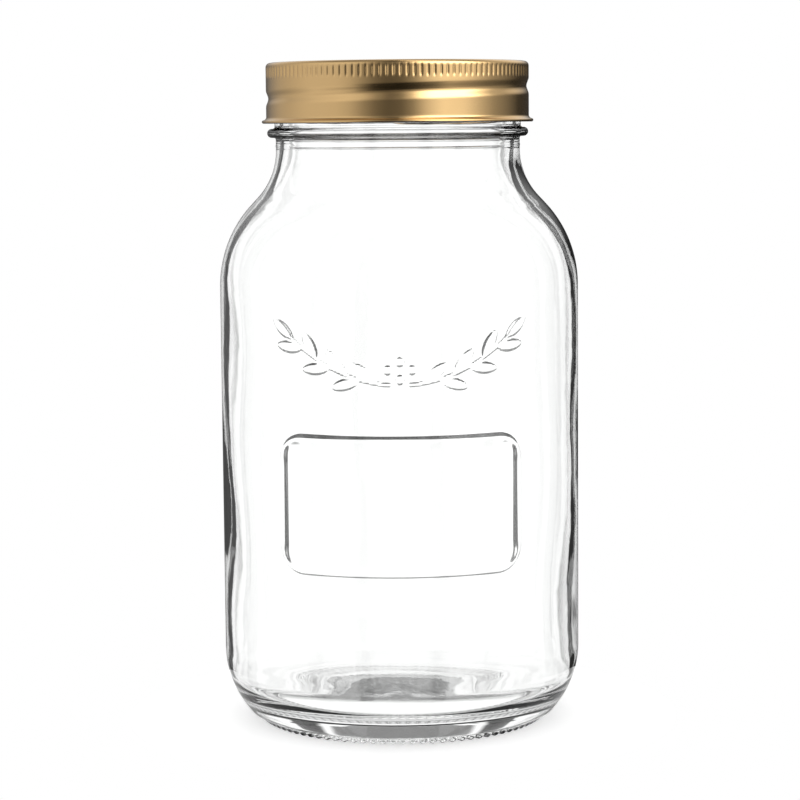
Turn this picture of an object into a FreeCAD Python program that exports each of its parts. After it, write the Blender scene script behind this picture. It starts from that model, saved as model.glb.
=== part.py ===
import FreeCAD, Part

import math
import os

# A preserving jar with a two-part lid, in millimetres. The jar stands on z = 0 with its axis
# on Z, and the raised label frame faces -Y. The pieces are the glass jar, the gasket on its
# rim, the sealing disc on the gasket, and the screw band that holds the disc down.

# Glass: overall form
GLASS_H = 176.7  # table to sealing rim
BODY_R = 48.5  # outside of the straight body
NECK_R = 32.9  # outside of the neck
WALL = 3.0  # body, shoulder and neck
BASE_T = 4.7  # glass over the foot, before the floor rises
FLOOR_SLOPE = 8.0  # degrees, of the floor where it leaves the inner heel
INNER_HEEL_R = 8.0

# Glass: shoulder
SHOULDER_R = 32.0  # rounding out of the body
NECK_FILLET_R = 18.6  # hollow rounding into the neck
SHOULDER_STRAIGHT = 2.9  # straight stretch between the two roundings

# Glass: neck, transfer bead and the finish above it
NECK_L = 3.3  # straight neck below the bead
BEAD_OUT = 2.3  # bead beyond the neck
BEAD_H = 2.4
FINISH_H = 16.3  # bead to rim
FINISH_STEP = 0.3  # finish beyond the neck
RIM_OUTER_R = 1.2
RIM_INNER_R = 1.0

# Glass: heel, bearing ring and underside
FOOT_Z = 1.9  # underside of the heel above the table
HEEL_R = 25.5
HEEL_TURN = 42.0  # degrees that the heel turns before its corner
HEEL_CORNER_R = 1.5
RING_INSET = 1.45  # bearing ring inside the heel's corner
RING_W = 4.2
RING_DRAFT = 0.9  # run of the bearing ring's sloping inner side
UNDER_RISE = 2.3  # push-up of the underside
RIB_H = 0.9  # ribs under the bearing ring
RIB_CREST = 0.06  # taken off each rib, so that it stands on a narrow flat
RIB_PITCH = 2.69
RIB_SINK = 0.25  # rib carried up into the ring

# Glass: raised label frame
FRAME_W = 67.7  # round the body, over the outside of the frame
FRAME_H = 36.6
FRAME_Z = 64.5  # centre height
FRAME_CORNER_R = 8.5
FRAME_BEAD_R = 1.5
FRAME_PROUD = 0.9
FRAME_STEPS = 6  # spans of each corner's curve

# Gasket and sealing disc
SHEET = 0.25  # tinplate of the disc and the band
GASKET_T = 0.8
GASKET_W = 3.0
GASKET_INSET = 0.1  # gasket inside the rounding of the disc's edge
DISC_OVERHANG = 1.0  # disc beyond the glass finish
DISC_EDGE_H = 1.5  # turned-down edge of the disc
DISC_EDGE_R = 0.6
PANEL_DROP = 1.0  # panel below the disc's seat
PANEL_CLEAR = 1.2  # panel's step inside the mouth
PANEL_STEP = 0.8  # run of the step
BUTTON_R = 19.0
BUTTON_RISE = 0.5

# Screw band
BAND_CLEAR = 0.95  # band clear of the disc's edge
BAND_GAP = 1.4  # band clear of the transfer bead below it
BAND_LIP_W = 5.6  # width of the band's top ring
BAND_TOP_R = 1.2
CURL_R = 0.75
GROOVE_DROP = 4.05  # centre of the rolled groove below the knurls
GROOVE_HALF_H = 1.9
GROOVE_DEPTH = 0.6
KNURL_DROP = 1.25  # knurls below the band's top
KNURL_H = 2.8
KNURL_PITCH = 1.78
KNURL_W = 0.8
KNURL_DEPTH = 0.16

TOUCH = 1e-6
AXIS = FreeCAD.Vector(0, 0, 1)
CENTRE = FreeCAD.Vector(0, 0, 0)
FRONT = -math.pi / 2.0

# Heights up the stack, each on the one below
NECK_TOP = GLASS_H - FINISH_H - BEAD_H
GASKET_TOP = GLASS_H + GASKET_T
DISC_TOP = GASKET_TOP + SHEET
BAND_TOP = DISC_TOP + SHEET

# Radii of the lid, from the glass that it closes
FINISH_R = NECK_R + FINISH_STEP
MOUTH_R = NECK_R - WALL
DISC_R = FINISH_R + DISC_OVERHANG
BAND_R = DISC_R + BAND_CLEAR + SHEET

# Foot of the heel, where its corner turns under, and the ring inside it
HEEL_FOOT_R = BODY_R - HEEL_R + (HEEL_R - HEEL_CORNER_R) * math.cos(math.radians(HEEL_TURN))
HEEL_TOP = FOOT_Z + HEEL_CORNER_R + (HEEL_R - HEEL_CORNER_R) * math.sin(math.radians(HEEL_TURN))
RING_R = HEEL_FOOT_R - RING_INSET
RING_IN_R = RING_R - RING_W


def spot(radius, height):
    return FreeCAD.Vector(radius, 0, height)


def corner(radius, height):
    """A corner of a turned outline: where it starts, where it ends, and no edge."""
    return spot(radius, height), spot(radius, height), None


def bend(centre, radius, start, end):
    """An arc of a turned outline, between two angles in degrees."""
    angles = [math.radians(angle) for angle in (start, (start + end) / 2.0, end)]
    spots = [spot(centre[0] + radius * math.cos(a), centre[1] + radius * math.sin(a))
             for a in angles]
    return spots[0], spots[2], Part.Arc(*spots).toShape()


def turned(stops):
    """The solid that a closed outline of corners and bends sweeps round the axis."""
    edges = []
    for (_, here, _), (there, _, edge) in zip(stops[-1:] + stops[:-1], stops):
        if here.distanceToPoint(there) > TOUCH:
            edges.append(Part.makeLine(here, there))
        if edge is not None:
            edges.append(edge)
    return Part.Face(Part.Wire(edges)).revolve(CENTRE, AXIS, 360)


def tube(outer_r, inner_r, low, high):
    """A plain ring about the axis, between two heights."""
    return turned([corner(inner_r, low), corner(outer_r, low),
                   corner(outer_r, high), corner(inner_r, high)])


def shoulder_turn():
    """Degrees that the shoulder turns, so that it reaches from the body in to the neck."""
    round_part = SHOULDER_R + NECK_FILLET_R
    reach = math.hypot(round_part, SHOULDER_STRAIGHT)
    lean = math.atan2(SHOULDER_STRAIGHT, round_part)
    return math.degrees(math.acos((round_part - (BODY_R - NECK_R)) / reach) - lean)


def shoulder_centres():
    """Centres of the shoulder's convex rounding and of its hollow one."""
    turn = math.radians(shoulder_turn())
    neck_z = NECK_TOP - NECK_L
    rise = (SHOULDER_R + NECK_FILLET_R) * math.sin(turn) + SHOULDER_STRAIGHT * math.cos(turn)
    return (BODY_R - SHOULDER_R, neck_z - rise), (NECK_R + NECK_FILLET_R, neck_z)


def foot_outline():
    """Underside push-up, bearing ring and heel, from the axis out to the body."""
    dome_edge = RING_IN_R - RING_DRAFT
    dome_r = (dome_edge**2 + UNDER_RISE**2) / (2.0 * UNDER_RISE)
    dome_end = math.degrees(math.acos(dome_edge / dome_r))
    return [
        bend((0, FOOT_Z + UNDER_RISE - dome_r), dome_r, 90, dome_end),
        corner(RING_IN_R, RIB_H),
        corner(RING_R, RIB_H),
        corner(RING_R, FOOT_Z),
        bend((HEEL_FOOT_R, FOOT_Z + HEEL_CORNER_R), HEEL_CORNER_R, -90, -HEEL_TURN),
        bend((BODY_R - HEEL_R, HEEL_TOP), HEEL_R, -HEEL_TURN, 0),
    ]


def finish_outline():
    """Shoulder, neck, transfer bead and rim, from the body up and over into the mouth."""
    turn = shoulder_turn()
    body_side, neck_side = shoulder_centres()
    bead_r = BEAD_H / 2.0
    return [
        bend(body_side, SHOULDER_R, 0, turn),
        bend(neck_side, NECK_FILLET_R, 180 + turn, 180),
        corner(NECK_R, NECK_TOP),
        bend((NECK_R + BEAD_OUT - bead_r, NECK_TOP + bead_r), bead_r, -90, 90),
        corner(FINISH_R, NECK_TOP + BEAD_H),
        bend((FINISH_R - RIM_OUTER_R, GLASS_H - RIM_OUTER_R), RIM_OUTER_R, 0, 90),
        bend((MOUTH_R + RIM_INNER_R, GLASS_H - RIM_INNER_R), RIM_INNER_R, 90, 180),
    ]


def inside_outline():
    """The cavity's wall, parallel to the outside, then the inner heel and the domed floor."""
    turn = shoulder_turn()
    body_side, neck_side = shoulder_centres()
    heel = (BODY_R - WALL - INNER_HEEL_R, FOOT_Z + BASE_T + INNER_HEEL_R)
    slope = math.radians(FLOOR_SLOPE)
    dome_r = heel[0] / math.sin(slope) - INNER_HEEL_R
    dome = (0, heel[1] - (dome_r + INNER_HEEL_R) * math.cos(slope))
    return [
        bend(neck_side, NECK_FILLET_R + WALL, 180, 180 + turn),
        bend(body_side, SHOULDER_R - WALL, turn, 0),
        bend(heel, INNER_HEEL_R, 0, -90 - FLOOR_SLOPE),
        bend(dome, dome_r, 90 - FLOOR_SLOPE, 90),
    ]


def bearing_ribs():
    """Half-round ribs across the bearing ring, each standing on a narrow flat at z = 0."""
    radius = RIB_H + RIB_CREST
    crest = math.degrees(math.asin(RIB_H / radius))
    inner_end = RING_IN_R - RING_W / 4.0
    length = 1.5 * RING_W

    def section(angle):
        a = math.radians(angle)
        return FreeCAD.Vector(inner_end, radius * math.cos(a), RIB_H - radius * math.sin(a))

    right, left = section(0), section(180)
    lift = FreeCAD.Vector(0, 0, RIB_SINK)
    edges = [
        Part.Arc(right, section(crest / 2.0), section(crest)).toShape(),
        Part.makeLine(section(crest), section(180 - crest)),
        Part.Arc(section(180 - crest), section(180 - crest / 2.0), left).toShape(),
        Part.makeLine(left, left + lift),
        Part.makeLine(left + lift, right + lift),
        Part.makeLine(right + lift, right),
    ]
    rib = Part.Face(Part.Wire(edges)).extrude(FreeCAD.Vector(length, 0, 0))
    count = round(2 * math.pi * RING_R / RIB_PITCH)
    ribs = []
    for step in range(count):
        one = rib.copy()
        one.rotate(CENTRE, AXIS, math.degrees(FRONT) + step * 360.0 / count)
        ribs.append(one)
    return Part.makeCompound(ribs).common(tube(RING_R, RING_IN_R, 0, RIB_H + RIB_SINK))


def frame_path():
    """Centre line of the label frame: a rounded rectangle wrapped round the body."""
    depth = FRAME_BEAD_R - FRAME_PROUD
    half_bead = math.sqrt(FRAME_BEAD_R**2 - depth**2)
    radius = BODY_R - depth
    turn_r = FRAME_CORNER_R - half_bead
    run = FRAME_W / 2.0 - FRAME_CORNER_R
    rise = FRAME_H / 2.0 - FRAME_CORNER_R

    def on_body(along, up):
        angle = FRONT + along / BODY_R
        return FreeCAD.Vector(radius * math.cos(angle), radius * math.sin(angle), FRAME_Z + up)

    def heading(along, slide, climb):
        angle = FRONT + along / BODY_R
        pace = slide * radius / BODY_R
        return FreeCAD.Vector(-pace * math.sin(angle), pace * math.cos(angle), climb)

    corners = []
    for side, level, start in ((1, 1, 0), (-1, 1, 90), (-1, -1, 180), (1, -1, 270)):
        turns = [math.radians(start + 90.0 * k / FRAME_STEPS) for k in range(FRAME_STEPS + 1)]
        spots = [(side * run + turn_r * math.cos(a), level * rise + turn_r * math.sin(a))
                 for a in turns]
        curve = Part.BSplineCurve()
        curve.interpolate(
            Points=[on_body(*s) for s in spots],
            Parameters=[a - turns[0] for a in turns],
            Tangents=[heading(s[0], -turn_r * math.sin(a), turn_r * math.cos(a))
                      for s, a in zip(spots, turns)],
            TangentFlags=[True] * len(turns),
        )
        corners.append(curve.toShape())
    loop = []
    for edge, following in zip(corners, corners[1:] + corners[:1]):
        here = edge.valueAt(edge.LastParameter)
        there = following.valueAt(following.FirstParameter)
        loop.append(edge)
        if abs(here.z - there.z) < TOUCH:
            loop.append(Part.Arc(here, on_body(0, here.z - FRAME_Z), there).toShape())
        else:
            loop.append(Part.makeLine(here, there))
    return Part.Wire(loop)


def label_frame():
    """Round bead along the frame's path, sunk in the wall but for its crest."""
    path = frame_path()
    first = path.Edges[0]
    start = first.valueAt(first.FirstParameter)
    section = Part.makeCircle(FRAME_BEAD_R, start, first.tangentAt(first.FirstParameter))
    sweep = Part.BRepOffsetAPI.MakePipeShell(path)
    sweep.setFrenetMode(False)
    sweep.add(Part.Wire(section))
    sweep.build()
    sweep.makeSolid()
    return sweep.shape()


def glass_jar():
    body = turned(foot_outline() + finish_outline() + inside_outline())
    body = body.fuse(label_frame())
    return body.fuse(bearing_ribs()).removeSplitter()


def gasket():
    outer = DISC_R - DISC_EDGE_R - GASKET_INSET
    return tube(outer, outer - GASKET_W, GLASS_H, GASKET_TOP)


def sealing_disc():
    """Tinplate disc: a flat seat with a turned-down edge round a panel that drops in the mouth."""
    step_r = MOUTH_R - PANEL_CLEAR
    panel_z = DISC_TOP - PANEL_DROP
    top = [(0, panel_z + BUTTON_RISE), (BUTTON_R, panel_z + BUTTON_RISE),
           (BUTTON_R + BUTTON_RISE, panel_z), (step_r - PANEL_STEP, panel_z), (step_r, DISC_TOP)]
    edge = (DISC_R - DISC_EDGE_R, DISC_TOP - DISC_EDGE_R)
    edge_z = DISC_TOP - DISC_EDGE_H
    stops = [corner(*s) for s in top]
    stops.append(bend(edge, DISC_EDGE_R, 90, 0))
    stops.append(corner(DISC_R, edge_z))
    stops.append(corner(DISC_R - SHEET, edge_z))
    stops.append(bend(edge, DISC_EDGE_R - SHEET, 0, 90))
    stops.extend(corner(radius, height - SHEET) for radius, height in reversed(top))
    return turned(stops)


def knurled_ring(low, high):
    """Ring of the band's sheet with narrow upright dents pressed into it all round."""
    count = round(2 * math.pi * BAND_R / KNURL_PITCH)
    dent = KNURL_W / BAND_R
    step = 2 * math.pi / count

    def wavy_face(radius):
        def at(angle, out):
            return FreeCAD.Vector(out * math.cos(angle), out * math.sin(angle), low)

        edges = []
        for k in range(count):
            a = FRONT + k * step
            valley = at(a, radius - KNURL_DEPTH)
            land = at(a + step / 2.0, radius)
            sides = [at(angle, radius) for angle in (a - dent / 2, a + dent / 2)]
            following = at(a + step - dent / 2, radius)
            edges.append(Part.Arc(sides[0], valley, sides[1]).toShape())
            edges.append(Part.Arc(sides[1], land, following).toShape())
        return Part.Wire(edges)

    outlines = [wavy_face(BAND_R), wavy_face(BAND_R - SHEET)]
    face = Part.makeFace(outlines, "Part::FaceMakerBullseye")
    return face.extrude(FreeCAD.Vector(0, 0, high - low))


def screw_band():
    """Rolled sheet band: top ring over the disc, knurled edge, rolled groove and outward curl."""
    skin_r = BAND_R - SHEET
    curl = (skin_r + CURL_R, NECK_TOP + BEAD_H + BAND_GAP + CURL_R)
    top = (BAND_R - BAND_TOP_R, BAND_TOP - BAND_TOP_R)
    lip_r = BAND_R - BAND_LIP_W
    high = BAND_TOP - KNURL_DROP
    low = high - KNURL_H
    groove_z = low - GROOVE_DROP
    swing_r = (GROOVE_DEPTH**2 + GROOVE_HALF_H**2) / (4.0 * GROOVE_DEPTH)
    swing = math.degrees(math.acos(1.0 - GROOVE_DEPTH / (2.0 * swing_r)))
    upper = (BAND_R - swing_r, groove_z + GROOVE_HALF_H)
    middle = (BAND_R - GROOVE_DEPTH + swing_r, groove_z)
    lower = (BAND_R - swing_r, groove_z - GROOVE_HALF_H)
    band = turned([
        corner(lip_r, BAND_TOP),
        bend(top, BAND_TOP_R, 90, 0),
        bend(upper, swing_r, 0, -swing),
        bend(middle, swing_r, 180 - swing, 180 + swing),
        bend(lower, swing_r, swing, 0),
        bend(curl, CURL_R - SHEET, 180, 450),
        bend(curl, CURL_R, 450, 180),
        bend(lower, swing_r - SHEET, 0, swing),
        bend(middle, swing_r + SHEET, 180 + swing, 180 - swing),
        bend(upper, swing_r - SHEET, -swing, 0),
        bend(top, BAND_TOP_R - SHEET, 0, 90),
        corner(lip_r, BAND_TOP - SHEET),
    ])
    zone = tube(BAND_R + SHEET, skin_r - SHEET, low, high)
    return band.cut(zone).fuse(knurled_ring(low, high)).removeSplitter()


PARTS = {
    "glass_jar": glass_jar,
    "gasket": gasket,
    "sealing_disc": sealing_disc,
    "screw_band": screw_band,
}

os.makedirs("parts", exist_ok=True)
for name, make in PARTS.items():
    shape = make()
    solid = shape.Solids[0] if len(shape.Solids) == 1 else shape
    print(name, solid.ShapeType, solid.isValid(), round(solid.Volume, 1), len(solid.Faces))
    solid.exportStep(f"parts/{name}.step")
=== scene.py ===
# The frame: the solids of the jar, shut and standing, each piece in its place. Every visible
# piece below is fitted to them.
import math

import bpy
from mathutils import Matrix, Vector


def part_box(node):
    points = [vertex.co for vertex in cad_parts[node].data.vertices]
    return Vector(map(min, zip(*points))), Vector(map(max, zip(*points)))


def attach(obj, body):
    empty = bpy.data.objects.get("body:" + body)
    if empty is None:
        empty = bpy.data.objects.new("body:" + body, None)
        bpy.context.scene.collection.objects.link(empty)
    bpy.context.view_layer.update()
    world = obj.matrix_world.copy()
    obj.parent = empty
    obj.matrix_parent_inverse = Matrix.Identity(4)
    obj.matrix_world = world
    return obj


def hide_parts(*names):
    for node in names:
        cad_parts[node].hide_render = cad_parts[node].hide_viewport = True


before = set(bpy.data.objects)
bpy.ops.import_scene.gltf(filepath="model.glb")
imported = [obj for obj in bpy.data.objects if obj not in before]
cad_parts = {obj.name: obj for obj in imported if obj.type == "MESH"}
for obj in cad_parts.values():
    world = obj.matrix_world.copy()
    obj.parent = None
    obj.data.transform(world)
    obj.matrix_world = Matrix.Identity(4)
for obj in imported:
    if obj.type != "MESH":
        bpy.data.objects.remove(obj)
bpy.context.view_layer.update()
scene = bpy.context.scene
scene.view_settings.view_transform = "Standard"
MM = 0.001


# The camera stands level with the jar's neck, just over two-thirds of a metre from its axis,
# and looks slightly down. It leans by half a degree, so the jar leans the other way.
CAMERA_AWAY = 693.2 * MM
CAMERA_HEIGHT = 162.4 * MM
CAMERA_DOWN = 6.25
CAMERA_LEAN = -0.5
SENSOR = 36.0
FOCAL = 114.9

lens = bpy.data.cameras.new("camera")
lens.sensor_width = SENSOR
lens.lens = FOCAL
camera = bpy.data.objects.new("camera", lens)
camera.matrix_world = (
    Matrix.Translation((0, -CAMERA_AWAY, CAMERA_HEIGHT))
    @ Matrix.Rotation(math.radians(90 - CAMERA_DOWN), 4, "X")
    @ Matrix.Rotation(math.radians(CAMERA_LEAN), 4, "Z")
)
scene.collection.objects.link(camera)
scene.camera = camera


# The room: a plain white set. White windows stand all round the jar with dark cloth between them,
# and two strips of cloth behind it, one low and one high, which draw the glass's edges dark.
# The metal sees a big soft lamp to the right, a dull wall to the left and a dark place in front.


class Socket:
    """A node's socket that takes part in sums. Each sum adds a node of its own."""

    def __init__(self, nodes, out):
        self.nodes = nodes
        self.out = out

    def math(self, operation, *others):
        return self.nodes.add("ShaderNodeMath", {"operation": operation}, [self, *others])

    def __add__(self, other):
        return self.math("ADD", other)

    def __sub__(self, other):
        return self.math("SUBTRACT", other)

    def __rsub__(self, other):
        return (self * -1.0) + other

    def __mul__(self, other):
        return self.math("MULTIPLY", other)

    def __truediv__(self, other):
        return self.math("DIVIDE", other)

    __radd__ = __add__
    __rmul__ = __mul__


class Nodes:
    """The nodes of one tree: a material's, the world's, or a geometry tree's."""

    def __init__(self, owner):
        if hasattr(owner, "use_nodes"):
            owner.use_nodes = True
            owner = owner.node_tree
        self.tree = owner
        self.tree.nodes.clear()

    def add(self, kind, settings=None, values=None, out=0):
        """Adds a node, sets its settings, then fills its sockets by place or by name."""
        node = self.tree.nodes.new(kind)
        for name, value in (settings or {}).items():
            if name == "stops":
                ramp = node.color_ramp.elements
                while len(ramp) < len(value):
                    ramp.new(0.5)
                for stop, (place, level) in zip(ramp, value):
                    stop.position = place
                    stop.color = (level, level, level, 1)
            else:
                setattr(node, name, value)
        listed = values.items() if isinstance(values, dict) else enumerate(values or [])
        for name, value in listed:
            if isinstance(value, Socket):
                self.tree.links.new(value.out, node.inputs[name])
            elif value is not None:
                node.inputs[name].default_value = value
        if not node.outputs:
            return node
        return Socket(self, node.outputs[out])

    def step(self, value, low, high, start=0.0, end=1.0):
        """A smooth change from start to end while a value goes from low to high."""
        return self.add(
            "ShaderNodeMapRange",
            {"interpolation_type": "SMOOTHSTEP"},
            {0: value, 1: low, 2: high, 3: start, 4: end},
        )

    def shade(self, low, high, mask):
        """A colour between two, by a mask from 0 to 1."""
        colours = [c if isinstance(c, Socket) else (*c, 1) for c in (low, high)]
        return self.add(
            "ShaderNodeMix", {"data_type": "RGBA"}, {0: mask, 6: colours[0], 7: colours[1]}, out=2
        )


# Four broad windows stand with four narrow ones between them. The sizes are half their widths,
# in degrees round the jar.
WINDOWS = 4
WINDOW_HALF = 20.0
WINDOW_FADE = 3.0
CORNER_HALF = 11.0
CORNER_FADE = 2.0
WINDOW_LIGHT = 1.16
CLOTH = 0.03
# Each strip of cloth fades in and out between these heights in degrees, and leaves this much light.
LOW_CLOTH = (-30.0, -28.0, -21.5, -19.5, 0.0)
HIGH_CLOTH = (6.5, 9.0, 18.0, 21.0, 0.2)
CLOTH_SIDE = (17.0, 20.0)
# The lamp's level by the angle round the jar from its front, for low, level and high directions.
LAMP_LOW = [(-180, 0.05), (-156, 0.10), (-118, 0.40), (-82, 0.72), (-55, 0.70), (-42, 0.56),
            (-33, 0.24), (-22, 0.03), (-8, 0.005), (8, 0.005), (20, 0.05), (38, 0.20), (52, 0.50),
            (66, 0.36), (92, 0.16), (128, 0.02), (180, 0.02)]
LAMP_LEVEL = [(-180, 0.08), (-158, 0.15), (-125, 0.48), (-85, 0.68), (-55, 0.68), (-42, 0.58),
              (-30, 0.34), (-19, 0.17), (-8, 0.10), (4, 0.13), (14, 0.30), (26, 0.78), (40, 1.15),
              (60, 1.05), (77, 0.62), (92, 0.34), (112, 0.18), (130, 0.04), (180, 0.03)]
LAMP_HIGH = [(-180, 0.9), (-158, 0.7), (-118, 0.52), (-82, 0.74), (-50, 0.84), (-36, 0.72),
             (-23, 0.36), (-9, 0.15), (3, 0.24), (13, 0.80), (22, 2.2), (32, 3.6), (68, 3.6),
             (82, 1.6), (96, 0.62), (112, 0.5), (132, 0.85), (180, 0.9)]
LAMP_MOST = 4.0
LAMP_TILT = (0.03, 0.42)
LAMP_FLOOR = (-0.85, -0.5)
LAMP_CEILING = (0.62, 0.9, 1.0, 0.45)

world = bpy.data.worlds.new("room")
scene.world = world
room = Nodes(world)
split = room.add("ShaderNodeSeparateXYZ", None, [room.add("ShaderNodeTexCoord")])
side, ahead, high = (Socket(room, split.out.node.outputs[k]) for k in range(3))
height = high.math("ARCSINE") * math.degrees(1)

around = (side.math("ARCTAN2", ahead) * WINDOWS).math("COSINE")
edges = [math.cos(math.radians(WINDOWS * a)) for a in (WINDOW_HALF + WINDOW_FADE, WINDOW_HALF)]
corners = [
    math.cos(math.pi - math.radians(WINDOWS * a)) for a in (CORNER_HALF, CORNER_HALF + CORNER_FADE)
]
window = room.step(around, *edges) + room.step(around, *corners, 1.0, 0.0)
behind = room.step(side.math("ARCTAN2", ahead).math("ABSOLUTE") * math.degrees(1), *CLOTH_SIDE)
for low, low_end, top, top_end, left in (LOW_CLOTH, HIGH_CLOTH):
    clear = room.step(height, low, low_end, 1.0, 0.0) + room.step(height, top, top_end) + behind
    window = window * (clear.math("MINIMUM", 1.0) * (1 - left) + left)
through = window * (WINDOW_LIGHT - CLOTH) + CLOTH

turned = side.math("ARCTAN2", ahead * -1.0) / (2 * math.pi) + 0.5
levels = [
    room.add(
        "ShaderNodeValToRGB",
        {"stops": [(a / 360 + 0.5, level / LAMP_MOST) for a, level in lamp]},
        [turned],
    )
    * LAMP_MOST
    for lamp in (LAMP_LOW, LAMP_LEVEL, LAMP_HIGH)
]
falls = room.step(high * -1.0, *LAMP_TILT)
rises = room.step(high, *LAMP_TILT)
lamps = levels[0] * falls + levels[1] * (1 - falls - rises) + levels[2] * rises
lamps = lamps * room.step(high, *LAMP_FLOOR) * room.step(high, *LAMP_CEILING)

path = room.add("ShaderNodeLightPath").out.node.outputs
glossy, passed = (Socket(room, path[name]) for name in ("Is Glossy Ray", "Is Transmission Ray"))
mirrored = glossy * (1 - passed)
strength = passed * through + mirrored * lamps + (1 - passed - mirrored)
back = room.add("ShaderNodeBackground", None, {"Color": (1, 1, 1, 1), "Strength": strength})
room.add("ShaderNodeOutputWorld", None, {"Surface": back})


# The table: a small round white top, just wide enough for the jar's soft shadow. Seen through
# the glass it glows evenly bright, but for a painted ring of shadow where the foot's ribs stand.
TABLE_R = 75.0
TABLE_SIDES = 96
TABLE_WHITE = (0.8, 0.8, 0.8, 1)
TABLE_GLOW = 0.45
TABLE_THROUGH = 1.08
# The glow left inside the painted ring of shadow seen through the glass, and where that ring fades
# in and out.
TABLE_PAINTED_SHADOW = 0.75
PAINTED_SHADOW_IN = (32.5 * MM, 35.0 * MM)
PAINTED_SHADOW_OUT = (39.5 * MM, 41.5 * MM)

table_mesh = bpy.data.meshes.new("table_top")
table_rim = [
    (TABLE_R * MM * math.cos(a), TABLE_R * MM * math.sin(a), 0)
    for a in (2 * math.pi * k / TABLE_SIDES for k in range(TABLE_SIDES))
]
table_mesh.from_pydata(table_rim, [], [tuple(range(TABLE_SIDES))])
table = bpy.data.objects.new("table_top", table_mesh)
scene.collection.objects.link(table)
white = bpy.data.materials.new("white_table")
paint = Nodes(white)
matt = paint.add("ShaderNodeBsdfDiffuse", None, {"Color": TABLE_WHITE})
path = paint.add("ShaderNodeLightPath").out.node.outputs
seen, passed = (Socket(paint, path[name]) for name in ("Is Camera Ray", "Is Transmission Ray"))
glow = paint.add("ShaderNodeEmission", None, {"Color": (1, 1, 1, 1), "Strength": seen * TABLE_GLOW})
top = paint.add("ShaderNodeAddShader", None, [matt, glow])
where = paint.add("ShaderNodeTexCoord", out="Object")
away = paint.add("ShaderNodeVectorMath", {"operation": "LENGTH"}, [where], out="Value")
# Painted shadow: a ring under the foot's ribs where the glow seen through the glass is dimmed.
painted_shadow_ring = paint.step(away, *PAINTED_SHADOW_IN) * paint.step(away, *PAINTED_SHADOW_OUT, 1.0, 0.0)
through = TABLE_THROUGH - painted_shadow_ring * (TABLE_THROUGH - TABLE_PAINTED_SHADOW)
through_glass_glow = paint.add("ShaderNodeEmission", None, {"Color": (1, 1, 1, 1), "Strength": through})
both = paint.add("ShaderNodeMixShader", None, [passed, top, through_glass_glow])
paint.add("ShaderNodeOutputMaterial", None, {"Surface": both})
table_mesh.materials.append(white)


# The glass: one pressed and blown piece of clear soda-lime glass, open at its neck. The ribs under
# its foot, the label frame, a plain sprig, the bead below the lid and the screw thread are moulded
# on the outside. The inside is blown, so it is smooth and a little uneven.
BODY_R = 48.5
NECK_R = 32.9
WALL = 3.0
FLOOR_LOW = 6.6
FLOOR_SLOPE = 8.0
INNER_HEEL_R = 8.0
SHOULDER_R = 32.0
NECK_FILLET_R = 18.6
SHOULDER_STRAIGHT = 2.9
NECK_L = 3.3
BEAD_OUT = 2.3
BEAD_H = 2.4
FINISH_H = 16.3
FINISH_R = 33.2
RIM_OUTER_R = 1.2
RIM_INNER_R = 1.0
FOOT_Z = 1.9
HEEL_R = 25.5
HEEL_TURN = 42.0
HEEL_CORNER_R = 1.5
RING_INSET = 1.45
RING_W = 4.2
RING_STEPS = (0, 0.15, 0.5, 1.0, 2.0, 3.0, 3.5, 3.8, 4.0, 4.12, RING_W)
UNDER_RISE = 2.3
UNDER_EDGE = 0.9
RIB_H = 0.9
RIB_PITCH = 2.69
RIB_APART = 0.05
RIB_END = 0.8
FRAME_W = 69.0
FRAME_H = 37.1
FRAME_Z = 64.25
FRAME_CORNER_R = 8.5
# The frame's bead: its height, and the widths of its inner and outer slopes.
FRAME_TOP = (0.9, 2.2, 1.6)
FRAME_SIDE = (0.72, 1.9, 1.9)
FRAME_FOOT = (0.5, 2.1, 0.62)
# The slopes are narrower by this at the corners, and the crest and feet take this share of them.
FRAME_CORNER_CUT = (0.6, 0.65)
FRAME_SOFT = 0.14
FRAME_MARGIN = 1.0
SEAM_DOWN = 2.25
SEAM_HALF = 0.25
SEAM_OUT = 0.13
SPRIG_LOW = 90.5
SPRIG_HIGH = 112.0

glass_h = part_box("glass_jar")[1].z / MM
FRONT = -math.pi / 2


def arc(centre, radius, start, end, spacing):
    """Points along an arc of the outline, from one angle to the other in degrees."""
    turn = math.radians(end - start)
    count = max(2, round(abs(turn) * radius / spacing))
    angles = [math.radians(start) + turn * k / count for k in range(count + 1)]
    return [(centre[0] + radius * math.cos(a), centre[1] + radius * math.sin(a)) for a in angles]


def line(start, end, spacing):
    """Points along a straight stretch, without its two ends."""
    length = math.dist(start, end)
    count = max(1, round(length / spacing))
    return [
        (start[0] + (end[0] - start[0]) * k / count, start[1] + (end[1] - start[1]) * k / count)
        for k in range(1, count)
    ]


def joined(stretches, spacing):
    """One outline from stretches of points, with a straight run between those that lie apart."""
    points = list(stretches[0])
    for stretch in stretches[1:]:
        if math.dist(points[-1], stretch[0]) > 1e-6:
            points += line(points[-1], stretch[0], spacing)
            points += stretch
        else:
            points += stretch[1:]
    return points


slope = math.radians(HEEL_TURN)
heel_foot_r = BODY_R - HEEL_R + (HEEL_R - HEEL_CORNER_R) * math.cos(slope)
heel_top = FOOT_Z + HEEL_CORNER_R + (HEEL_R - HEEL_CORNER_R) * math.sin(slope)
ring_r = heel_foot_r - RING_INSET
ring_in_r = ring_r - RING_W
neck_top = glass_h - FINISH_H - BEAD_H
neck_z = neck_top - NECK_L
mouth_r = NECK_R - WALL
round_part = SHOULDER_R + NECK_FILLET_R
reach = math.hypot(round_part, SHOULDER_STRAIGHT)
lean = math.atan2(SHOULDER_STRAIGHT, round_part)
turn = math.acos((round_part - (BODY_R - NECK_R)) / reach) - lean
shoulder_z = neck_z - round_part * math.sin(turn) - SHOULDER_STRAIGHT * math.cos(turn)
body_side = (BODY_R - SHOULDER_R, shoulder_z)
neck_side = (NECK_R + NECK_FILLET_R, neck_z)
turn = math.degrees(turn)

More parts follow.
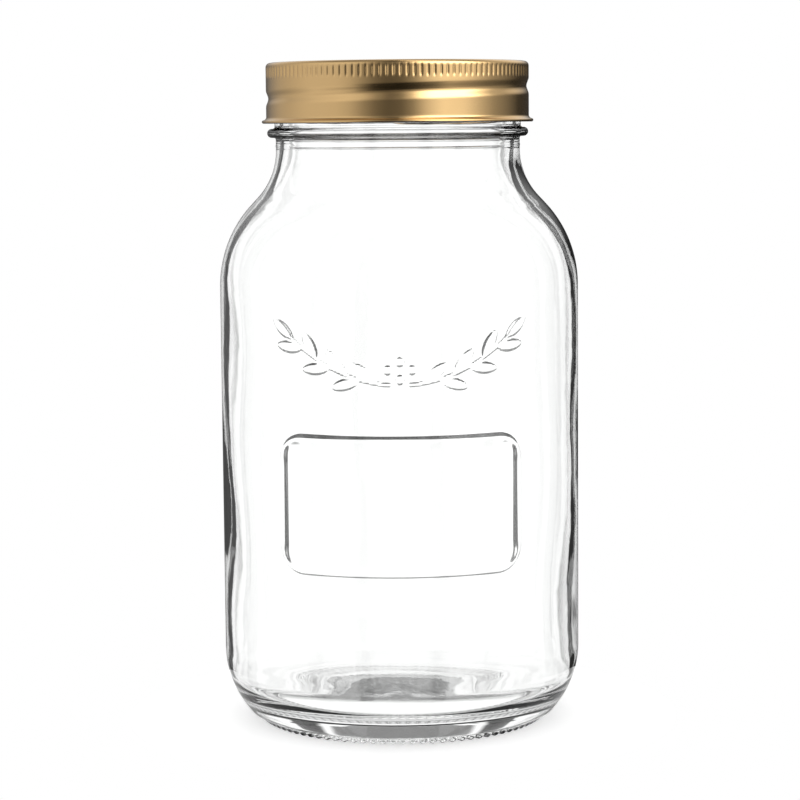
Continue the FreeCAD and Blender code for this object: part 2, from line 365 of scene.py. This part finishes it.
dome_r = ((ring_in_r - UNDER_EDGE) ** 2 + UNDER_RISE**2) / (2 * UNDER_RISE)
dome_end = math.degrees(math.acos((ring_in_r - UNDER_EDGE) / dome_r))
under = arc((0, FOOT_Z + UNDER_RISE - dome_r), dome_r, 89.8, dome_end, 2.0)
ring = [(ring_in_r + step, RIB_H) for step in RING_STEPS]
heel = joined(
    [
        [(ring_r, FOOT_Z - 0.15), (ring_r + 0.15, FOOT_Z)],
        arc((heel_foot_r, FOOT_Z + HEEL_CORNER_R), HEEL_CORNER_R, -90, -HEEL_TURN, 0.25),
        arc((BODY_R - HEEL_R, heel_top), HEEL_R, -HEEL_TURN, 0, 1.2),
    ],
    0.5,
)
frame_low, frame_high = FRAME_Z - FRAME_H / 2, FRAME_Z + FRAME_H / 2
wall = [heel[-1], (BODY_R, frame_low - FRAME_MARGIN), (BODY_R, frame_low - 0.4)]
# Up the wall, how high each stretch goes, and how far apart its rows of points are.
for height, spacing in (
    (frame_low + FRAME_MARGIN, 0.18),
    (frame_low + FRAME_CORNER_R, 0.4),
    (frame_high - FRAME_CORNER_R, 1.2),
    (frame_high + 0.4, 0.4),
    (SPRIG_LOW, 1.5),
    (SPRIG_HIGH, 0.4),
):
    wall += line(wall[-1], (BODY_R, height), spacing) + [(BODY_R, height)]
wall += line(wall[-1], (BODY_R, shoulder_z), 1.5)
seam = neck_top - SEAM_DOWN
shoulder = joined(
    [
        arc(body_side, SHOULDER_R, 0, turn, 1.0),
        arc(neck_side, NECK_FILLET_R, 180 + turn, 180, 0.8),
        [(NECK_R, seam - SEAM_HALF), (NECK_R + SEAM_OUT, seam), (NECK_R, seam + SEAM_HALF)],
        [(NECK_R, neck_top - 0.5)],
        [(NECK_R + 0.15, neck_top - 0.12), (NECK_R + 0.5, neck_top)],
        arc((NECK_R + BEAD_OUT - BEAD_H / 2, neck_top + BEAD_H / 2), BEAD_H / 2, -90, 90, 0.25),
        [(FINISH_R + 0.4, neck_top + BEAD_H), (FINISH_R, neck_top + BEAD_H + 0.35)],
    ],
    0.7,
)
finish = line(shoulder[-1], (FINISH_R, glass_h - RIM_OUTER_R), 0.5)
rim = joined(
    [
        arc((FINISH_R - RIM_OUTER_R, glass_h - RIM_OUTER_R), RIM_OUTER_R, 0, 90, 0.25),
        arc((mouth_r + RIM_INNER_R, glass_h - RIM_INNER_R), RIM_INNER_R, 90, 180, 0.25),
    ],
    0.5,
)
inner_heel = (BODY_R - WALL - INNER_HEEL_R, FLOOR_LOW + INNER_HEEL_R)
floor_r = inner_heel[0] / math.sin(math.radians(FLOOR_SLOPE)) - INNER_HEEL_R
floor_centre = (0, inner_heel[1] - (floor_r + INNER_HEEL_R) * math.cos(math.radians(FLOOR_SLOPE)))
inside = joined(
    [
        [rim[-1]],
        arc(neck_side, NECK_FILLET_R + WALL, 180, 180 + turn, 1.25),
        arc(body_side, SHOULDER_R - WALL, turn, 0, 1.25),
        arc(inner_heel, INNER_HEEL_R, 0, -90 - FLOOR_SLOPE, 0.7),
        arc(floor_centre, floor_r, 90 - FLOOR_SLOPE, 89.9, 1.6),
    ],
    2.0,
)[1:]

RIB_COLUMNS = 12
PLAIN_COLUMNS = 180
INNER_COLUMNS = 144
FRONT_COLUMNS = 190
REAR_COLUMNS = 70
FRONT_MARGIN = 1.2
half_front = (FRAME_W / 2 + FRONT_MARGIN) / BODY_R
rib_count = round(2 * math.pi * ring_r / RIB_PITCH)


def spread(count, start):
    """Angles evenly spread round the jar, measured from its front."""
    return [start + 2 * math.pi * k / count for k in range(count)]


rib_step = 2 * math.pi / (rib_count * RIB_COLUMNS)
rib_turns = spread(rib_count * RIB_COLUMNS, -round(half_front / rib_step) * rib_step)
plain_turns = spread(PLAIN_COLUMNS, -half_front)
inner_turns = spread(INNER_COLUMNS, -half_front)
front_turns = [-half_front + 2 * half_front * k / FRONT_COLUMNS for k in range(FRONT_COLUMNS)]
front_turns += [
    half_front + (2 * math.pi - 2 * half_front) * k / REAR_COLUMNS for k in range(REAR_COLUMNS)
]


def rib_shape(radius, height, angle):
    """Half-round ribs under the bearing ring, rounded off at their two ends."""
    pitch = 2 * math.pi / rib_count
    off = (angle + pitch / 2) % pitch - pitch / 2
    across = min(1.0, abs(off) * radius / (RIB_H + RIB_APART))
    near_end = min(radius - ring_in_r, ring_r - radius)
    along = min(1.0, max(0.0, near_end / RIB_END))
    bulge = math.sqrt(max(0.0, 1 - across**2)) * math.sqrt(max(0.0, 1 - (1 - along) ** 2))
    return radius, height - RIB_H * bulge


def bead(off, inner, outer):
    """A raised bead's height, from 0 to 1: two flat slopes with a rounded crest and feet."""
    share = abs(off) / (inner if off < 0 else outer)
    if share < FRAME_SOFT:
        return 1 - FRAME_SOFT / 2 - share**2 / (2 * FRAME_SOFT)
    if share < 1 - FRAME_SOFT / 2:
        return 1 - share
    return max(0.0, 1 + FRAME_SOFT / 2 - share) ** 2 / (2 * FRAME_SOFT)


def beside_front(angle):
    """How far round the body an angle is from the middle of the front, in millimetres."""
    return ((angle + math.pi) % (2 * math.pi) - math.pi) * BODY_R


def frame_shape(radius, height, angle):
    """The label frame, raised in a low bead whose slopes change on their way round it."""
    along = beside_front(angle)
    right = max(0.0, abs(along) - FRAME_W / 2 + FRAME_CORNER_R)
    up = max(0.0, abs(height - FRAME_Z) - FRAME_H / 2 + FRAME_CORNER_R)
    across = math.hypot(right, up)
    if across == 0 or across > FRAME_CORNER_R + FRAME_MARGIN:
        return radius, height
    sideways = right / across
    level = FRAME_TOP if height > FRAME_Z else FRAME_FOOT
    corner = 4 * sideways**2 * (1 - sideways**2)
    shares = (sideways, sideways**2, sideways**6)
    proud, inner, outer = (a + (b - a) * k for a, b, k in zip(level, FRAME_SIDE, shares))
    inner -= FRAME_CORNER_CUT[0] * corner
    if level is FRAME_TOP:
        outer -= FRAME_CORNER_CUT[1] * corner
    return radius + proud * bead(across - FRAME_CORNER_R + outer, inner, outer), height


SPRIG_Z = 95.5
SPRIG_RISE = 0.0135
SPRIG_HALF = 30.0
SPRIG_GAP = 2.0
SPRIG_PROUD = 0.65
STEM_HALF = 0.75
LEAF_HALF_L = 4.3
LEAF_HALF_W = 1.7
LEAF_TILT = 28.0
LEAF_EDGE = 0.75
LEAF_ROUND = 0.75
LEAF_STALK = 0.4
# Where each leaf leaves the stem, and whether it points up, down or straight on.
LEAF_PLACES = ((5.5, 1), (9.5, -1), (13.5, 1), (17.5, -1), (21.5, 1), (25.5, -1), (29.5, 0))
LAST_LEAF_BACK = 0.8
VEIN_HALF = 0.45
VEIN_DEPTH = 0.45
BERRY_R = 1.5
BERRY_SLOPE = 2.1
BERRIES = ((0.0, 1.4), (0.0, 6.0), (3.1, 3.9))


def sprig_stem(along):
    """The height of the sprig's stem, which hangs between its two ends."""
    return SPRIG_Z + SPRIG_RISE * along**2


leaves = []
for place, up in LEAF_PLACES:
    run = math.atan(2 * SPRIG_RISE * place)
    tilt = run + math.radians(LEAF_TILT) * up
    reach_out = LEAF_HALF_L + (LEAF_STALK if up else -LAST_LEAF_BACK)
    leaves.append((
        place + reach_out * math.cos(tilt),
        sprig_stem(place) + reach_out * math.sin(tilt),
        math.cos(tilt),
        math.sin(tilt),
    ))


def sprig_lift(along, height):
    """A plain sprig of paired leaves and berries, moulded in low relief and alike both ways."""
    along = abs(along)
    best = 0.0
    if SPRIG_GAP < along < SPRIG_HALF:
        off = abs(height - sprig_stem(along)) / STEM_HALF
        if off < 1:
            best = 1 - off
    for u0, v0, c, s in leaves:
        du, dv = along - u0, height - v0
        u = (du * c + dv * s) / LEAF_HALF_L
        if abs(u) >= 1:
            continue
        v = abs(dv * c - du * s)
        inset = LEAF_HALF_W * (1 - u * u) ** LEAF_ROUND - v
        if inset > 0:
            vein = VEIN_DEPTH * max(0.0, 1 - v / VEIN_HALF) * (1 - u * u)
            best = max(best, min(1.0, inset / LEAF_EDGE) - vein)
    for u0, v0 in BERRIES:
        off = math.hypot(along - u0, height - (SPRIG_Z + v0)) / BERRY_R
        if off < 1:
            best = max(best, min(1.0, (1 - off) * BERRY_SLOPE))
    return best


def front_shape(radius, height, angle):
    """The body's front, with the label frame and the sprig above it."""
    radius, height = frame_shape(radius, height, angle)
    if height > SPRIG_LOW:
        radius += SPRIG_PROUD * sprig_lift(beside_front(angle), height)
    return radius, height


def plain_shape(radius, height, angle):
    """The outline as it is, with nothing raised on it."""
    return radius, height


THREAD_LEAD = 6.3
THREAD_OUT = 1.1
THREAD_HALF = 1.3
THREAD_ABOVE_BEAD = 2.6
THREAD_TURNS = 1.35
THREAD_FADE = 0.06
thread_start = neck_top + BEAD_H + THREAD_ABOVE_BEAD


def thread_shape(radius, height, angle):
    """The screw thread on the finish: a round ridge that climbs to the right-hand side."""
    best = 0.0
    for lap in range(2):
        swept = angle / (2 * math.pi) + lap
        if swept > THREAD_TURNS:
            continue
        off = abs(height - thread_start - swept * THREAD_LEAD) / THREAD_HALF
        fade = min(1.0, swept / THREAD_FADE, (THREAD_TURNS - swept) / THREAD_FADE)
        if off < 1:
            best = max(best, fade * (0.5 + 0.5 * math.cos(math.pi * off)))
    return radius + THREAD_OUT * best, height


UNEVEN = 0.16
UNEVEN_FADE = 20.0
UNEVEN_BELOW_RIM = 6.0
# Each wave's size, its turns round the jar, its climb and where it starts.
WAVES = ((1.0, 2, 0.045, 0.7), (0.7, 3, -0.06, 2.1), (0.5, 5, 0.11, 0.0))
SWAY = 0.6
SWAY_CLIMB = 0.13
SWAY_LEAN = 1.3


def inner_shape(radius, height, angle):
    """The blown inside, which wavers slowly round the jar and up it."""
    wave = sum(
        size * math.sin(turns * angle + climb * height + start)
        for size, turns, climb, start in WAVES
    )
    wave += SWAY * math.sin(SWAY_CLIMB * height + SWAY_LEAN * math.sin(angle))
    below_rim = max(0.0, glass_h - UNEVEN_BELOW_RIM - height)
    share = min(1.0, radius / UNEVEN_FADE) * min(1.0, below_rim / UNEVEN_FADE)
    return radius + UNEVEN * wave * share, height


class Skin:
    """A closed surface made of rings of points round the axis, each joined to the last."""

    def __init__(self):
        self.points = []
        self.faces = []
        self.last = None

    def ring(self, point, turns, shape):
        """Adds a ring at one point of the outline, and joins it to the ring before."""
        first = len(self.points)
        for angle in turns:
            radius, height = shape(point[0], point[1], angle)
            way = FRONT + angle
            self.points.append(
                (radius * math.cos(way) * MM, radius * math.sin(way) * MM, height * MM)
            )
        now = (first, list(turns))
        if self.last:
            self.join(self.last, now)
        else:
            self.close(now, point[1], True)
        self.last = now

    def join(self, low, high):
        """Fills the strip between two rings, which may differ in their number of points."""
        (a, turns_a), (b, turns_b) = low, high
        if turns_a == turns_b:
            count = len(turns_a)
            for k in range(count):
                n = (k + 1) % count
                self.faces.append((a + k, a + n, b + n, b + k))
            return
        count_a, count_b = len(turns_a), len(turns_b)
        ends_a = turns_a + [turns_a[0] + 2 * math.pi]
        ends_b = turns_b + [turns_b[0] + 2 * math.pi]
        i = j = 0
        while i < count_a or j < count_b:
            here_a, here_b = a + i % count_a, b + j % count_b
            if j == count_b or (i < count_a and ends_a[i + 1] <= ends_b[j + 1]):
                i += 1
                self.faces.append((here_a, a + i % count_a, here_b))
            else:
                j += 1
                self.faces.append((here_a, b + j % count_b, here_b))

    def close(self, ring, height, first):
        """Closes the first or the last ring with a fan round a point on the axis."""
        start, turns = ring
        count = len(turns)
        centre = len(self.points)
        self.points.append((0, 0, height * MM))
        for k in range(count):
            n = (k + 1) % count
            pair = (start + n, start + k) if first else (start + k, start + n)
            self.faces.append((centre, *pair))

    def mesh(self, name):
        """Closes the surface, and makes it a smooth mesh."""
        self.close(self.last, self.points[self.last[0]][2] / MM, False)
        mesh = bpy.data.meshes.new(name)
        mesh.from_pydata(self.points, [], self.faces)
        mesh.polygons.foreach_set("use_smooth", [True] * len(mesh.polygons))
        mesh.validate()
        return mesh


skin = Skin()
for outline, turns, shape in (
    (under, plain_turns, plain_shape),
    (ring, rib_turns, rib_shape),
    (heel[:5], rib_turns, plain_shape),
    (heel[5:-1], plain_turns, plain_shape),
    (wall, front_turns, front_shape),
    (shoulder, plain_turns, plain_shape),
    (finish, plain_turns, thread_shape),
    (rim, plain_turns, plain_shape),
    (inside, inner_turns, inner_shape),
):
    for point in outline:
        skin.ring(point, turns, shape)
glass_mesh = skin.mesh("glass")
glass = bpy.data.objects.new("glass", glass_mesh)
scene.collection.objects.link(glass)

clear = bpy.data.materials.new("clear_glass")
melt = Nodes(clear)
where = melt.add("ShaderNodeTexCoord", out="Object")
ripple = melt.add("ShaderNodeTexNoise", None, {"Vector": where, "Scale": 55.0, "Detail": 2.0})
seed = melt.add("ShaderNodeTexNoise", None, {"Vector": where, "Scale": 400.0, "Detail": 1.0})
relief = melt.add(
    "ShaderNodeBump", None, {"Strength": 0.12, "Distance": 0.0006, "Height": ripple + seed * 0.05}
)
smear = melt.add("ShaderNodeTexNoise", None, {"Vector": where, "Scale": 30.0, "Detail": 4.0})
clear_shader = melt.add(
    "ShaderNodeBsdfPrincipled",
    None,
    {
        "Base Color": (0.992, 0.996, 0.993, 1),
        "Roughness": smear * 0.01,
        "IOR": 1.5,
        "Transmission Weight": 1.0,
        "Normal": relief,
    },
)
melt.add("ShaderNodeOutputMaterial", None, {"Surface": clear_shader})
glass_mesh.materials.append(clear)
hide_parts("glass_jar")
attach(glass, "root")


# The gasket: a ring of grey sealing compound, flowed into the disc's edge and set there.
# It sits on the glass rim, and the disc presses it down.
compound = bpy.data.materials.new("sealing_compound")
paste = Nodes(compound)
where = paste.add("ShaderNodeTexCoord", out="Object")
lumps = paste.add("ShaderNodeTexNoise", None, {"Vector": where, "Scale": 1600.0, "Detail": 3.0})
relief = paste.add(
    "ShaderNodeBump", None, {"Strength": 0.4, "Distance": 0.0001, "Height": lumps}
)
tone = paste.shade((0.30, 0.29, 0.27), (0.40, 0.385, 0.36), lumps)
paste.add(
    "ShaderNodeOutputMaterial",
    None,
    {
        "Surface": paste.add(
            "ShaderNodeBsdfPrincipled",
            None,
            {"Base Color": tone, "Roughness": lumps * 0.15 + 0.5, "Normal": relief},
        )
    },
)


def coat(node, material):
    """Gives a solid of the frame its finish."""
    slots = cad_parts[node].data.materials
    slots.clear()
    slots.append(material)


coat("gasket", compound)


# The sealing disc: stamped tinplate with a gold lacquer, a stepped panel and a middle button
# that drops when the jar is sealed. The press leaves fine rings, and the lacquer varies a little.
# The underside is bare tin.
TIN = (0.44, 0.43, 0.42)
DISC_GOLD = ((0.74, 0.49, 0.215), (0.80, 0.545, 0.255))


def lacquer(name, colours, rings):
    """Gold lacquer over tinplate, with fine marks that run round the lid, and bare tin inside."""
    material = bpy.data.materials.new(name)
    tin = Nodes(material)
    where = tin.add("ShaderNodeTexCoord", out="Object")
    split = tin.add("ShaderNodeSeparateXYZ", None, [where]).out.node.outputs
    x, y, z = (Socket(tin, split[k]) for k in range(3))
    radius = (x * x + y * y).math("SQRT")
    round_it = tin.add("ShaderNodeCombineXYZ", None, [x * 0.06, y * 0.06, radius * rings + z])
    marks = tin.add(
        "ShaderNodeTexNoise", None, {"Vector": round_it, "Scale": 2600.0, "Detail": 4.0}
    )
    cloud = tin.add("ShaderNodeTexNoise", None, {"Vector": where, "Scale": 60.0, "Detail": 3.0})
    speck = tin.add("ShaderNodeTexNoise", None, {"Vector": where, "Scale": 4200.0, "Detail": 1.0})
    bare = tin.add("ShaderNodeAttribute", {"attribute_name": "inner_face"}, out="Fac")
    facing = tin.add("ShaderNodeTexCoord", out="Normal")
    upward = tin.add("ShaderNodeSeparateXYZ", None, [facing], out="Z")
    bare = bare.math("MAXIMUM", tin.step(upward, -0.7, -0.4, 1.0, 0.0))
    relief = tin.add(
        "ShaderNodeBump",
        None,
        {"Strength": 0.16, "Distance": 0.00002, "Height": marks * 0.6 + speck * 0.4},
    )
    shader = tin.add(
        "ShaderNodeBsdfPrincipled",
        None,
        {
            "Base Color": tin.shade(tin.shade(*colours, cloud), TIN, bare),
            "Metallic": 1.0,
            "Roughness": cloud * 0.04 + marks * 0.03 + 0.125,
            "Coat Weight": cloud * 0.2 + 0.3,
            "Coat Roughness": 0.1,
            "Normal": relief,
        },
    )
    tin.add("ShaderNodeOutputMaterial", None, {"Surface": shader})
    return material


coat("sealing_disc", lacquer("gold_disc", DISC_GOLD, 1.0))


# The screw band: a ring of the same tinplate that holds the disc down. It is rolled into a screw
# groove below its knurled edge, and its foot flares out and is curled under.
BAND_R = 35.4
BAND_SHEET = 0.25
BAND_LIP_IN_R = 29.8
BAND_CORNER_R = 1.2
FLARE_R = 0.9
FLARE_OUT = 0.75
CURL_R = 0.45
KNURLS = 125
KNURL_DEPTH = 0.19
KNURL_WIDTH = 0.92
KNURL_LOW = 173.75
KNURL_HIGH = 176.95
KNURL_END = 0.5
GROOVE_DEPTH = 0.62
GROOVE_HALF = 2.3
GROOVE_MIDDLE = 169.9
GROOVE_LEAD = 6.2
GROOVE_TURNS = 0.57
GROOVE_FADE = 0.07
# The rolled shapes fade in by these depths inside the wall and these heights above the foot.
ROLLED_FROM = (1.2, 0.6)
ROLLED_ABOVE = (1.6, 2.4)
BAND_COLUMNS = 8
BAND_GOLD = ((0.76, 0.495, 0.215), (0.82, 0.55, 0.25))

band_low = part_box("screw_band")[0].z / MM
band_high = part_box("screw_band")[1].z / MM
corner = (BAND_R - BAND_CORNER_R, band_high - BAND_CORNER_R)
tip = (BAND_R + FLARE_OUT, band_low + CURL_R)
flare = (BAND_R + FLARE_R, band_low + 2 * CURL_R + FLARE_R)
inner_r = BAND_R - BAND_SHEET
section = joined(
    [
        [(inner_r, band_low + 0.25), (inner_r + 0.2, band_low + 0.03)],
        arc(tip, CURL_R, -90, 60, 0.2),
        arc(flare, FLARE_R, 248, 180, 0.25),
        arc(corner, BAND_CORNER_R, 0, 90, 0.35),
        [(BAND_LIP_IN_R + 1.5, band_high)],
        [(BAND_LIP_IN_R + 0.1, band_high), (BAND_LIP_IN_R, band_high - 0.1)],
        [(BAND_LIP_IN_R, band_high - BAND_SHEET)],
        [(BAND_LIP_IN_R + 1.5, band_high - BAND_SHEET)],
        [(corner[0], band_high - BAND_SHEET)],
        [(inner_r - 0.3, band_high - BAND_SHEET - 0.28), (inner_r, band_high - BAND_CORNER_R)],
    ],
    0.4,
)
# The lip's flat top needs few points. What closes the section after it is the inner face.
section = [
    p for k, p in enumerate(section)
    if not (p[1] > band_high - 0.3 and BAND_LIP_IN_R + 0.2 < p[0] < corner[0] - 0.2 and k % 4)
]
outer_count = len(section)
section += line(section[-1], section[0], 0.55)
rim_count = KNURLS * BAND_COLUMNS
points = []
faces = []
for k, (radius, height) in enumerate(section):
    for j in range(rim_count):
        way = 2 * math.pi * j / rim_count
        points.append((radius * MM * math.cos(way), radius * MM * math.sin(way), height * MM))
        n, m = (j + 1) % rim_count, (k + 1) % len(section)
        faces.append((k * rim_count + j, k * rim_count + n, m * rim_count + n, m * rim_count + j))
blank = bpy.data.meshes.new("band_blank")
blank.from_pydata(points, [], faces)
blank.polygons.foreach_set("use_smooth", [True] * len(faces))
inner_face = blank.attributes.new("inner_face", "FLOAT", "POINT")
inner_face.data.foreach_set(
    "value", [float(k // rim_count >= outer_count) for k in range(len(points))]
)
band_blank = bpy.data.objects.new("band_blank", blank)
scene.collection.objects.link(band_blank)
gold_band = lacquer("gold_band", BAND_GOLD, 0.0)

roll = bpy.data.node_groups.new("rolled_band", "GeometryNodeTree")
roll.interface.new_socket("Blank", in_out="INPUT", socket_type="NodeSocketGeometry")
sizes = {
    "Knurls": KNURLS,
    "Knurl depth": KNURL_DEPTH * MM,
    "Knurl width": KNURL_WIDTH * MM,
    "Knurl low": KNURL_LOW * MM,
    "Knurl high": KNURL_HIGH * MM,
    "Groove depth": GROOVE_DEPTH * MM,
    "Groove half": GROOVE_HALF * MM,
    "Groove middle": GROOVE_MIDDLE * MM,
    "Groove lead": GROOVE_LEAD * MM,
    "Groove turns": GROOVE_TURNS,
}
named = {
    name: roll.interface.new_socket(name, in_out="INPUT", socket_type="NodeSocketFloat")
    for name in sizes
}
roll.interface.new_socket("Band", in_out="OUTPUT", socket_type="NodeSocketGeometry")
mill = Nodes(roll)
given = mill.add("NodeGroupInput").out.node.outputs
size = {name: Socket(mill, given[name]) for name in sizes}
split = mill.add(
    "ShaderNodeSeparateXYZ", None, [mill.add("GeometryNodeInputPosition")]
).out.node.outputs
x, y, z = (Socket(mill, split[k]) for k in range(3))
radius = (x * x + y * y).math("SQRT")
lap = x.math("ARCTAN2", y * -1.0) / (2 * math.pi)

off = ((lap * size["Knurls"]).math("FRACT") - 0.5).math("ABSOLUTE")
off = off * radius * (2 * math.pi) / size["Knurls"]
dent = (off / size["Knurl width"]).math("MINIMUM", 0.5) * (2 * math.pi)
dent = (dent.math("COSINE") + 1.0) * 0.5 * size["Knurl depth"]
ends = mill.step(z, size["Knurl low"], size["Knurl low"] + KNURL_END * MM)
ends = ends * mill.step(z, size["Knurl high"] - KNURL_END * MM, size["Knurl high"], 1.0, 0.0)
sunk = dent * ends

for whole_turns in (-1.0, 0.0, 1.0):
    here = lap + whole_turns
    off = (z - size["Groove middle"] - here * size["Groove lead"]) / size["Groove half"]
    off = off.math("ABSOLUTE").math("MINIMUM", 1.0) * math.pi
    near = size["Groove turns"] - GROOVE_FADE
    fade = mill.step(here.math("ABSOLUTE"), near, size["Groove turns"], 1.0, 0.0)
    groove = (off.math("COSINE") + 1.0) * 0.5 * size["Groove depth"] * fade
    sunk = sunk.math("MAXIMUM", groove)
rolled = mill.step(radius, *[(BAND_R - inward) * MM for inward in ROLLED_FROM])
rolled = rolled * mill.step(z, *[(band_low + up) * MM for up in ROLLED_ABOVE])
share = sunk * rolled / radius * -1.0
move = mill.add("ShaderNodeCombineXYZ", None, [x * share, y * share, 0.0])
moved = mill.add(
    "GeometryNodeSetPosition", None, {"Geometry": Socket(mill, given["Blank"]), "Offset": move}
)
real = mill.add("GeometryNodeRealizeInstances", None, [moved])
dressed = mill.add("GeometryNodeSetMaterial", None, {"Geometry": real, "Material": gold_band})
mill.add("NodeGroupOutput", None, [dressed])

rolling = band_blank.modifiers.new("rolled_band", "NODES")
rolling.node_group = roll
for name, value in sizes.items():
    rolling[named[name].identifier] = float(value)
ready = band_blank.evaluated_get(bpy.context.evaluated_depsgraph_get())
band_mesh = bpy.data.meshes.new_from_object(ready)
band_mesh.name = "band"
bpy.data.objects.remove(band_blank)
band = bpy.data.objects.new("band", band_mesh)
scene.collection.objects.link(band)
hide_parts("screw_band")
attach(band, "root")
